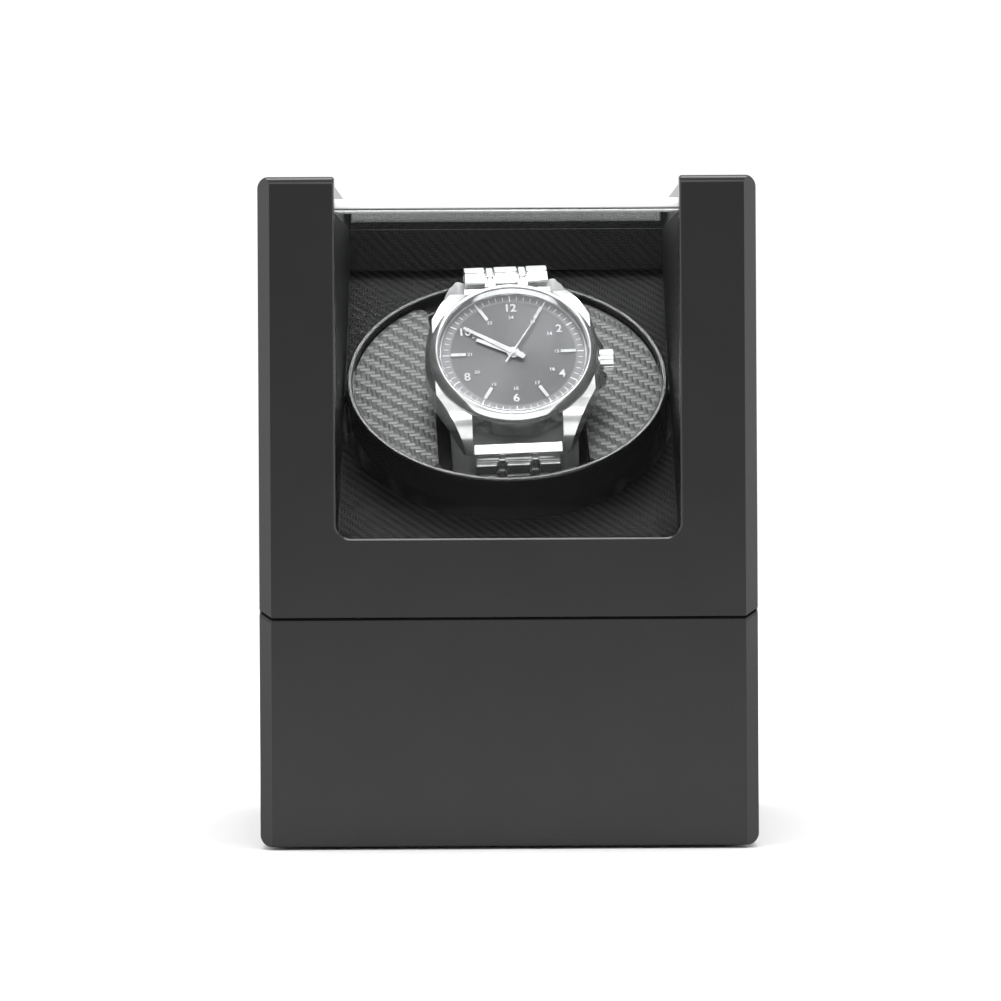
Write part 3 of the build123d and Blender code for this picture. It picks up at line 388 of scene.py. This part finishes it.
def dial_paint():
    """Grey sunburst dial with a lighter ring: fine lines that fan out from the middle, and a painted sheen
    that makes two opposite sectors lighter and the two between darker.
    """
    made = Shader("grey_dial", Metallic=0.5)
    x = made.along(WATCH_ACROSS, HANDS_CENTRE)
    y = made.along(WATCH_UP, HANDS_CENTRE)
    angle = made.math("ARCTAN2", y, x)
    fan = made.node("CombineXYZ", made.math("MULTIPLY", angle, 60.0)).outputs[0]
    fine = made.noise(1.0, 4.0, fan)
    # Painted sheen: a broad lighter and darker swing with the angle, standing in for light on the radial
    # lines.
    painted_sunburst_sheen = made.math("SINE", made.math("MULTIPLY", angle, 2.0))
    face = made.math("ADD", made.spread(fine, -0.01, 0.01), made.spread(painted_sunburst_sheen, 0.1, 0.14, -1.0, 1.0))
    radius = made.math("SQRT", made.math("ADD", made.math("MULTIPLY", x, x), made.math("MULTIPLY", y, y)))
    ring = made.spread(radius, 0.0, 0.09, DIAL_RING_R - 0.1 * MM, DIAL_RING_R + 0.1 * MM)
    tone = made.math("ADD", face, ring)
    made.colour(made.ramp(tone, (0.0, 0.0), (1.0, 1.0)))
    made.rough(made.spread(fine, 0.32, 0.42))
    made.bump(fine, 0.05, 0.00005)
    return made


def cushion_fabric():
    """Soft grey cloth with a fine plain weave."""
    made = Shader("grey_fabric", Sheen_Weight=0.4, Sheen_Roughness=0.4)
    thread = 0.45 * MM
    u = made.math("SINE", made.math("MULTIPLY", made.along((1, 0, 0)), 2 * pi / thread))
    v = made.math("SINE", made.math("MULTIPLY", made.along((0, 1, 0)), 2 * pi / thread))
    weave = made.math("MULTIPLY", u, v)
    soft = made.noise(260.0)
    tone = made.math("ADD", made.spread(weave, -0.05, 0.05, -1.0, 1.0), made.spread(soft, 0.32, 0.46))
    made.colour(made.ramp(tone, (0.0, 0.0), (1.0, 1.0)))
    made.rough(made.spread(soft, 0.8, 0.95))
    made.bump(weave, 0.35, 0.0002)
    return made


def lamp_glow():
    """The light guide: faintly tinted clear plastic."""
    made = Shader("lamp_clear", Transmission_Weight=0.6, IOR=1.49)
    made.colour(made.ramp(made.noise(300.0), (0.3, (0.55, 0.65, 0.75)), (0.7, (0.7, 0.8, 0.9))))
    made.rough(made.spread(made.noise(200.0), 0.15, 0.25))
    return made


# Pieces


def add_copy(shape, mesh, matrix):
    """Adds a moved copy of a mesh to a bmesh."""
    copy = mesh.copy()
    copy.transform(matrix)
    shape.from_mesh(copy)
    bpy.data.meshes.remove(copy)


def watch_piece(name, build, shader, lift=0.0):
    """A piece on the cushion, whose mesh a bmesh function fills in the watch frame."""
    matrix = WATCH_MATRIX @ Matrix.Translation((0, 0, lift))
    return piece(name, mesh_from(build, name), shader, "cushion_with_watch", matrix)


def join_rings(shape, rings):
    """Faces between each ring of vertices and the next; each ring is closed."""
    for first, second in zip(rings, rings[1:]):
        for index in range(len(first)):
            after = (index + 1) % len(first)
            shape.faces.new((first[index], first[after], second[after], second[index]))


def arc_points(centre, radius, first, last, count):
    """Points on an arc in the cushion's side view, as (Y, Z), between two angles in degrees."""
    points = []
    for index in range(count):
        angle = radians(first + (last - first) * index / count)
        points.append((centre[0] + radius * cos(angle), centre[1] + radius * sin(angle)))
    return points


def flat_points(first_y, last_y, z, count):
    """Points on a flat stretch of the cushion's side view, as (Y, Z)."""
    return [(first_y + (last_y - first_y) * index / count, z) for index in range(count)]


def cushion_outline(inset):
    """The cushion's side view, drawn in by an inset: a full end, a belly and a round end."""
    head = arc_points(CUSHION_HEAD, CUSHION_HEAD_R - inset, 90, 0, 12)
    belly = arc_points(CUSHION_BELLY, CUSHION_BELLY_R - inset, 0, -90, 18)
    low = flat_points(CUSHION_BELLY[0], CUSHION_TAIL[0], CUSHION_LOW + inset, 6)
    tail = arc_points(CUSHION_TAIL, CUSHION_TAIL_R - inset, -90, -270, 24)
    top = flat_points(CUSHION_TAIL[0], CUSHION_HEAD[0], CUSHION_TOP - inset, 10)
    return head + belly + low + tail + top


def cushion_inset(to_end):
    """How far the cloth lies inside the plain outline, by the distance to the cushion's nearer end."""
    slack = 0.3 * MM
    rounding = 3.4 * MM * max(0.0, 1 - to_end / (3.2 * MM)) ** 2
    swelling = 0.7 * MM * max(0.0, 1 - abs(to_end - 3.6 * MM) / (2.4 * MM))
    return slack + rounding - swelling


def soft_cushion(shader):
    """The cushion: it swells beside the bracelet, and its cloth ends pull in to a seam."""
    stations = 45
    seams = (3, stations - 4)
    seam_depth = 0.45 * MM

    def build(shape):
        rings = []
        for station in range(stations):
            share = station / (stations - 1)
            inset = cushion_inset(CUSHION_HALF * (1 - abs(2 * share - 1)))
            if station in seams:
                inset += seam_depth
            x = CUSHION_HALF * (2 * share - 1)
            rings.append([shape.verts.new((x, y, z)) for y, z in cushion_outline(inset)])
        join_rings(shape, rings)
        shape.faces.new(list(reversed(rings[0])))
        shape.faces.new(rings[-1])
        bmesh.ops.recalc_face_normals(shape, faces=shape.faces)

    made = watch_piece("cushion_pad", build, shader)
    made.data.shade_smooth()
    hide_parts("cushion")


def figures_mesh(text, size):
    """Raised figures, as a mesh centred on its own origin."""
    words = bpy.data.curves.new("figures", "FONT")
    words.body = text
    words.size = size
    words.align_x = "CENTER"
    words.align_y = "CENTER"
    words.extrude = 0.1 * MM
    words.offset = 0.02 * size
    holder = bpy.data.objects.new("figures", words)
    mesh = bpy.data.meshes.new_from_object(holder)
    bpy.data.objects.remove(holder)
    bpy.data.curves.remove(words)
    return mesh


def dial_numerals(shader):
    """Plain numerals at the even hours, and a small inner ring of the afternoon hours."""
    figures_z = 0.11 * MM

    def build(shape):
        rows = [(hour, str(hour), *HOUR_FIGURES) for hour in (2, 4, 6, 8, 10, 12)]
        rows += [(hour, str(hour + 12), *INNER_FIGURES) for hour in range(1, 13)]
        for hour, text, radius, size in rows:
            turn = radians(30 * hour)
            mesh = figures_mesh(text, size)
            add_copy(shape, mesh, Matrix.Translation((radius * sin(turn), radius * cos(turn), figures_z)))
            bpy.data.meshes.remove(mesh)

    made = watch_piece("watch_numerals", build, shader, DIAL_HEIGHT)


def minute_track(shader):
    """Sixty short strokes round the dial's edge, longer and wider at the hours."""
    plain_stroke = (0.16 * MM, 1.2 * MM)
    hour_stroke = (0.3 * MM, 1.8 * MM)
    height = 0.06 * MM

    def build(shape):
        for minute in range(60):
            width, length = plain_stroke if minute % 5 else hour_stroke
            spin = Matrix.Rotation(radians(-6 * minute), 4, "Z")
            size = Matrix.Diagonal((width, length, height, 1))
            matrix = spin @ Matrix.Translation((0, TRACK_R, height / 2)) @ size
            made = bmesh.ops.create_cube(shape, size=1.0)["verts"]
            bmesh.ops.transform(shape, matrix=matrix, verts=made)

    made = watch_piece("watch_minute_track", build, shader, DIAL_HEIGHT)


def eased_block(size, ease, place=(0, 0, 0)):
    """A block with eased edges, as a mesh; its size, ease and place are in millimetres."""

    def build(shape):
        made = bmesh.ops.create_cube(shape, size=1.0)["verts"]
        in_metres = Matrix.Diagonal((MM, MM, MM, 1))
        matrix = in_metres @ Matrix.Translation(place) @ Matrix.Diagonal((*size, 1))
        bmesh.ops.transform(shape, matrix=matrix, verts=made)
        edges = shape.edges[:]
        bmesh.ops.bevel(shape, geom=edges, offset=ease * MM, segments=2, profile=0.5, affect="EDGES")

    return mesh_from(build, "block")


def place_on_arc(centre, radius, angle):
    """A place on an arc that starts at the top of its circle: Y, Z and the heading, in radians."""
    return centre[0] + radius * sin(angle), centre[1] + radius * cos(angle), -angle


def head_place(distance):
    """The bracelet's middle line past twelve o'clock: over the cushion's full end, then under its belly."""
    quarter = LINK_BEND_R * pi / 2
    if distance < quarter:
        return place_on_arc(LINK_BEND, LINK_BEND_R, distance / LINK_BEND_R)
    belly_r = LINK_BEND[1] + LINK_PATH_R
    belly = (LINK_BEND[0] + LINK_BEND_R - belly_r, LINK_BEND[1])
    return place_on_arc(belly, belly_r, pi / 2 + (distance - quarter) / belly_r)


def tail_place(distance):
    """The bracelet's middle line past six o'clock, as if it ran towards +Y: down, round and back under."""
    start = Vector(LINK_TAIL_START)
    turn = Vector((LINK_TAIL_Y + LINK_PATH_R, 0.0))
    drop = (turn - start).length
    if distance < drop:
        y, z = start.lerp(turn, distance / drop)
        return y, z, radians(-83)
    angle = pi / 2 + (distance - drop) / LINK_PATH_R
    if angle < pi:
        return place_on_arc((LINK_TAIL_Y, 0.0), LINK_PATH_R, angle)
    return LINK_TAIL_Y - (angle - pi) * LINK_PATH_R, -LINK_PATH_R, -pi


def link_matrix(way, y, z, heading):
    """Where a link lies, from its place on the path and its side: 1 at twelve o'clock, -1 at six."""
    return Matrix.Translation((0, way * y * MM, z * MM)) @ Matrix.Rotation(way * heading, 4, "X")


def link_pads(columns, z):
    """The pads of one row, as meshes: one for each column's place and width."""
    length = LINK_ROW - LINK_GAP
    return [eased_block((width, length, PAD_HEIGHT), LINK_EASE, (x, 0, z)) for x, width in columns]


def bracelet_rows(shader):
    """Rows of polished links: outer and centre columns in line, and two narrow columns half a row on."""
    core_size = (CORE_WIDTH, LINK_ROW - 2 * LINK_GAP, CORE_HEIGHT)
    core = eased_block(core_size, CORE_EASE, (0, 0, CORE_Z))
    wide_pads = [core] + link_pads(WIDE_COLUMNS, PAD_Z)
    narrow_pads = link_pads(NARROW_COLUMNS, PAD_Z + NARROW_STAND)

    def build(shape):
        for way, count, path in ((1, HEAD_ROWS, head_place), (-1, TAIL_ROWS, tail_place)):
            for index in range(count):
                for pads, share in ((narrow_pads, 0.0), (wide_pads, 0.5)):
                    place = path(LINK_START + (index + share) * LINK_ROW)
                    for pad in pads:
                        add_copy(shape, pad, link_matrix(way, *place))

    made = watch_piece("bracelet_rows", build, shader)
    for mesh in wide_pads + narrow_pads:
        bpy.data.meshes.remove(mesh)
    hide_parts("watch_bracelet")


def bracelet_ends(shader):
    """Straight end links: a bar between each pair of lugs, with its top face falling outward."""
    bar = eased_block(END_BAR, LINK_EASE)

    def build(shape):
        for way in (-1, 1):
            add_copy(shape, bar, link_matrix(way, *END_BAR_PLACE, radians(-END_BAR_FALL)))

    made = watch_piece("bracelet_ends", build, shader)
    bpy.data.meshes.remove(bar)
    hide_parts("watch_end_links")


def bezel_ring(shader):
    """The polished bezel: a flat inner lip, a rounded shoulder and a wide slope down to the case."""
    seat = [(19.3, 24.4), (19.3, 24.9), (19.85, 24.9), (19.85, 27.2)]
    shoulder = [(20.2, 27.3), (20.5, 27.2), (21.0, 26.8)]
    slope = [(21.7, 26.0), (22.1, 25.3), (22.2, 24.9), (22.1, 24.6), (21.0, 24.4)]
    outline = seat + shoulder + slope
    steps = 128

    def build(shape):
        rings = []
        for index in range(steps):
            angle = 2 * pi * index / steps
            points = [(r * MM * cos(angle), r * MM * sin(angle), z * MM) for r, z in outline]
            rings.append([shape.verts.new(point) for point in points])
        join_rings(shape, rings + rings[:1])
        bmesh.ops.recalc_face_normals(shape, faces=shape.faces)

    made = watch_piece("bezel_ring", build, shader)
    made.data.shade_smooth()
    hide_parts("watch_bezel")


# Stage


def floor():
    """A plain pale floor."""
    made = Shader("pale_floor")
    made.colour(made.ramp(made.noise(6.0), (0.3, 0.95), (0.7, 0.97)))
    made.rough(made.spread(made.noise(10.0), 0.75, 0.85))

    def build(shape):
        bmesh.ops.create_grid(shape, x_segments=1, y_segments=1, size=4.0)

    mesh = mesh_from(build, "floor")
    plane = bpy.data.objects.new("floor", mesh)
    bpy.context.scene.collection.objects.link(plane)
    mesh.materials.append(made.material)


def softbox(name, place, target, width, height, radiance):
    """A rectangular studio light aimed at a point; its power follows from its size and radiance."""
    data = bpy.data.lights.new(name, "AREA")
    data.shape = "RECTANGLE"
    data.size = width
    data.size_y = height
    data.energy = radiance * pi * width * height
    made = bpy.data.objects.new(name, data)
    made.location = place
    made.rotation_mode = "QUATERNION"
    made.rotation_quaternion = (Vector(target) - Vector(place)).to_track_quat("-Z", "Y")
    bpy.context.scene.collection.objects.link(made)


def studio():
    """A white room, darker behind the camera, with softboxes above, at both sides and in front."""
    world = bpy.data.worlds.new("studio")
    world.use_nodes = True
    tree = world.node_tree
    heading = tree.nodes.new("ShaderNodeSeparateXYZ")
    tree.links.new(tree.nodes.new("ShaderNodeTexCoord").outputs["Generated"], heading.inputs[0])
    dark = tree.nodes.new("ShaderNodeMapRange")
    dark.interpolation_type = "SMOOTHSTEP"
    tree.links.new(heading.outputs["Y"], dark.inputs["Value"])
    for socket, value in (("From Min", -0.97), ("From Max", -0.8), ("To Min", 0.5), ("To Max", 1.05)):
        dark.inputs[socket].default_value = value
    tree.links.new(dark.outputs[0], tree.nodes["Background"].inputs["Strength"])
    tree.nodes["Background"].inputs["Color"].default_value = (1, 1, 1, 1)
    bpy.context.scene.world = world
    softbox("top_light", (0, 0.0, 0.9), ROOM_MIDDLE, 0.5, 0.42, 7.0)
    softbox("left_light", (-0.9, -0.25, 0.35), ROOM_MIDDLE, 0.5, 0.9, 1.2)
    softbox("right_light", (0.9, -0.25, 0.35), ROOM_MIDDLE, 0.5, 0.9, 1.4)
    softbox("front_light", (0, -1.3, 0.7), ROOM_MIDDLE, 0.6, 0.4, 3.0)


def camera():
    """A long lens in front of the window, level, with a very slight roll."""
    data = bpy.data.cameras.new("camera")
    data.lens = CAMERA_LENS
    data.sensor_width = 36.0
    data.shift_y = CAMERA_SHIFT
    made = bpy.data.objects.new("camera", data)
    made.location = (CAMERA_X, cad_low.y - CAMERA_DISTANCE, CAMERA_HEIGHT)
    made.rotation_euler = (radians(90), radians(CAMERA_ROLL), 0)
    bpy.context.scene.collection.objects.link(made)
    bpy.context.scene.camera = made


camera()
floor()
studio()

black = lacquer()
steel = metal("plain_steel", 0.55, 0.22, 0.4, (300, 4000, 4000))
polished = metal("polished_steel", 0.85, 0.08, 0.16)
satin = metal("watch_steel", 0.75, 0.15, 0.22)
bronze = metal("bronze", 0.7, 0.2, 0.35, (3000, 600, 3000), (1.0, 0.72, 0.4))
plate = metal("plate_aluminium", 0.72, 0.28, 0.42, (200, 3500, 3500))
nickel = metal("magnet_nickel", 0.7, 0.12, 0.22)
plain_black = moulding("black_moulding", 0.018, 0.4, 0.55)
gloss_black = moulding("bowl_black", 0.008, 0.12, 0.2)
soft = rubber("soft_rubber")
belt = rubber("belt_rubber")
deck_leather = dark_leather("dark_leather_deck", ACROSS, UPSLOPE)
side_leather = dark_leather("dark_leather_side", (0, 1, 0), (0, 0, 1))
rear_leather = dark_leather("dark_leather_rear", (1, 0, 0), (0, 0, 1))
silver = silver_leather()
pane_low, pane_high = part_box("lid_window")
# The pane's painted highlight starts at this point of its bend.
pane_bend = Vector((0, pane_low.y + PANE_BEND_BACK, pane_high.z - PANE_BEND_DOWN))
acrylic = clear_sheet("clear_sheet", (0.97, 0.98, 0.98, 1), 0.0, 1.16, pane_bend)
crystal = clear_sheet("watch_glass", (0.99, 0.99, 1.0, 1), 0.0, 1.3)
cell_sleeve = moulding("cell_wrap", 0.05, 0.25, 0.35)

paint(black, "base_casing", "lid_casing")
paint(plain_black, "base_cover", "spindle_pulley", "switch_body", "mode_knob", "power_jack")
paint(plain_black, "battery_box", "battery_door")
paint(soft, "rubber_feet", "lid_bumpers")
paint(belt, "drive_belt")
paint(deck_leather, "deck_board")
paint(side_leather, "lid_lining_left", "lid_lining_right")
paint(rear_leather, "lid_lining_rear")
paint(silver, "rotor_facing_left", "rotor_facing_right")
paint(gloss_black, "rotor_bowl")
paint(plate, "bearing_plate", "plate_posts")
paint(steel, "cover_screws", "plate_screws", "rotor_spindle", "spindle_clip", "motor_shaft", "gear_motor")
paint(steel, "motor_screws", "board_screws", "knob_shaft", "jack_nut", "hinge_pins")
paint(steel, "hinge_base_screws", "hinge_lid_screws")
paint(bronze, "spindle_bush", "motor_pulley")
paint(circuit_green(), "circuit_board")
paint(lamp_glow(), "indicator_lamp")
paint(cell_sleeve, "battery_cells")
paint(polished, "battery_contacts", "hinge_base_leaves", "hinge_lid_leaves")
paint(nickel, "base_magnets", "lid_magnets")
paint(acrylic, "lid_window")
paint(satin, "watch_case", "watch_case_back", "watch_clasp")
paint(polished, "watch_crown", "watch_markers")
paint(polished, "watch_hour_hand", "watch_minute_hand", "watch_second_hand")
paint(crystal, "watch_crystal")
paint(dial_paint(), "watch_dial")

soft_cushion(cushion_fabric())
bracelet_rows(polished)
bracelet_ends(polished)
bezel_ring(polished)
dial_numerals(polished)
minute_track(moulding("track_white", 0.75, 0.4, 0.5))

scene = bpy.context.scene
scene.view_settings.view_transform = "Standard"
